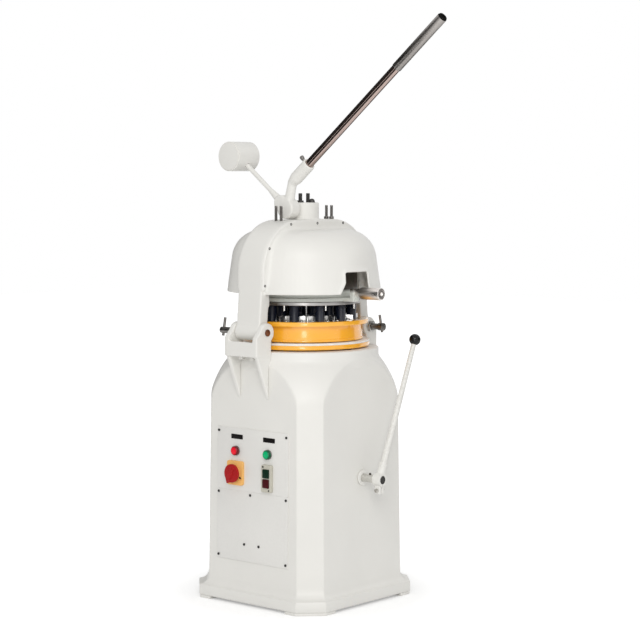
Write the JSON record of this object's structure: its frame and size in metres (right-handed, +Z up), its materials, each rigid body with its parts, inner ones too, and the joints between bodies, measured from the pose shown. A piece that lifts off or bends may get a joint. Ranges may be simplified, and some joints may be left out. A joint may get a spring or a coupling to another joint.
{
  "type": "dough divider rounder",
  "caption": "Floor-standing dough divider and rounder: press lever with counterweight, tilting arch head, divider ring, orbiting moulding table and side rounding lever.",
  "frame": {"origin": "on the upright axis of the machine at floor level, in the middle of the four foot pads", "axes": "+Z up; -Y towards the operator, the side with the ball lever and the knife lock handle; -X the side with the control panel and the head hinge"},
  "size_m": [0.639, 0.984, 2.0014],
  "materials": {
    "off_white_paint": "glossy sprayed enamel",
    "orange_paint": "glossy orange coat",
    "steel": "turned and brushed",
    "polished_tube": "polished tube",
    "dark_steel": "blackened steel",
    "brown_pin": "bronze, dulled",
    "white_plastic": "food-grade board",
    "navy_plastic": "satin",
    "black_plastic": "polished",
    "red_lens": "clear tinted",
    "green_lens": "clear tinted",
    "yellow_plastic": "smooth",
    "red_plastic": "smooth",
    "beige_plastic": "fine grain",
    "dark_green_plastic": "smooth",
    "dark_red_plastic": "smooth",
    "grey_paint": "painted",
    "black_rubber": "dull",
    "motor_grey": "painted"
  },
  "bodies": {
    "base": {"body_casting": "off_white_paint", "foot_pads": "off_white_paint", "hinge_bracket": "off_white_paint", "bracket_bolts": "off_white_paint", "lock_bracket": "off_white_paint", "control_panel": "off_white_paint", "lower_panel": "off_white_paint", "rear_panel": "off_white_paint", "panel_screws": "dark_steel", "legend_plates": "black_plastic", "lamp_bezels": "steel", "red_lens": "red_lens", "green_lens": "green_lens", "switch_plate": "yellow_plastic", "button_frame": "beige_plastic", "lever_bush": "steel", "bearing_housing": "steel", "glide_pads": "black_plastic", "motor": "motor_grey", "motor_plate": "steel", "drive_belt": "black_rubber", "lock_nut": "steel"},
    "switch": {"switch_knob": "red_plastic"},
    "start": {"start_button": "dark_green_plastic"},
    "stop": {"stop_button": "dark_red_plastic"},
    "motor_rotor": {"motor_pulley": "steel"},
    "crank": {"crank_shaft": "steel", "crank_pulley": "steel"},
    "table": {"moulding_table": "orange_paint", "moulding_plate": "white_plastic"},
    "rounding_lever": {"lever_shaft": "steel", "lever_clamp": "off_white_paint", "lever_rod": "off_white_paint", "lever_ball": "black_plastic", "clamp_screws": "dark_steel"},
    "hinge_pin": {"hinge_pin": "brown_pin"},
    "lock_screw": {"lock_screw": "steel"},
    "head": {"arch_frame": "off_white_paint", "front_cover": "off_white_paint", "rear_cover": "off_white_paint", "cover_screws": "dark_steel", "arch_studs": "steel", "boss_studs": "dark_steel", "ring_guides": "steel"},
    "press_lever": {"press_shaft": "steel", "lever_elbow": "off_white_paint", "lever_tube": "polished_tube", "lever_grip": "steel", "grip_plug": "black_plastic", "elbow_bolt": "dark_steel", "counterweight": "off_white_paint"},
    "press": {"plunger": "steel", "press_drum": "grey_paint", "press_disc": "steel", "press_segments": "navy_plastic"},
    "knives": {"knife_grid": "steel"},
    "ring": {"divider_ring": "orange_paint"},
    "knife_lock": {"lock_ring": "grey_paint", "lock_handle": "steel"}
  },
  "joints": [
    {"name": "crank_spin", "type": "hinge", "parent": "base", "child": "crank", "pos_m": [0, 0, 0.7], "axis": [0, 0, 1], "continuous": true},
    {"name": "table_orbit", "type": "hinge", "parent": "crank", "child": "table", "pos_m": [0, 0.008, 0.89], "axis": [0, 0, 1], "continuous": true},
    {"name": "motor_spin", "type": "hinge", "parent": "base", "child": "motor_rotor", "pos_m": [0, 0.15, 0.605], "axis": [0, 0, 1], "continuous": true},
    {"name": "rounding_turn", "type": "hinge", "parent": "base", "child": "rounding_lever", "pos_m": [0, -0.3, 0.441], "axis": [0, -1, 0], "range_deg": [0, 45]},
    {"name": "switch_turn", "type": "hinge", "parent": "base", "child": "switch", "pos_m": [-0.26679, 0.075, 0.454], "axis": [-0.9999, 0, 0.0128], "range_deg": [0, 90]},
    {"name": "start_push", "type": "slide", "parent": "base", "child": "start", "axis": [0.9999, 0, -0.0128], "range_m": [0, 0.004], "stiffness_N_per_m": 600},
    {"name": "stop_push", "type": "slide", "parent": "base", "child": "stop", "axis": [0.9999, 0, -0.0128], "range_m": [0, 0.004], "stiffness_N_per_m": 600},
    {"name": "hinge_pin_turn", "type": "hinge", "parent": "base", "child": "hinge_pin", "pos_m": [-0.271, 0, 0.947], "axis": [0, 1, 0], "range_deg": [-90, 90]},
    {"name": "lock_screw_turn", "type": "hinge", "parent": "base", "child": "lock_screw", "pos_m": [0.271, 0, 0.939], "axis": [0, 1, 0], "range_deg": [-90, 90]},
    {"name": "head_tilt", "type": "hinge", "parent": "base", "child": "head", "pos_m": [-0.271, 0, 0.947], "axis": [0, -1, 0], "range_deg": [0, 75]},
    {"name": "press_lever_turn", "type": "hinge", "parent": "head", "child": "press_lever", "pos_m": [-0.085, 0, 1.365], "axis": [-1, 0, 0], "range_deg": [-40, 50]},
    {"name": "press_slide", "type": "slide", "parent": "head", "child": "press", "axis": [0, 0, 1], "range_m": [-0.0316, 0.0394]},
    {"name": "knife_slide", "type": "slide", "parent": "press", "child": "knives", "axis": [0, 0, 1], "range_m": [-0.022, 0]},
    {"name": "ring_slide", "type": "slide", "parent": "head", "child": "ring", "axis": [0, 0, 1], "range_m": [0, 0.02]},
    {"name": "knife_lock_turn", "type": "hinge", "parent": "press", "child": "knife_lock", "pos_m": [0, 0, 1.054], "axis": [0, 0, -1], "range_deg": [0, 10]}
  ],
  "couplings": [
    {"joint": "table_orbit", "follows": "crank_spin", "ratio": -1},
    {"joint": "motor_spin", "follows": "crank_spin", "ratio": 2.2222},
    {"joint": "press_slide", "follows": "press_lever_turn", "m_per_rad": 0.045}
  ]
}
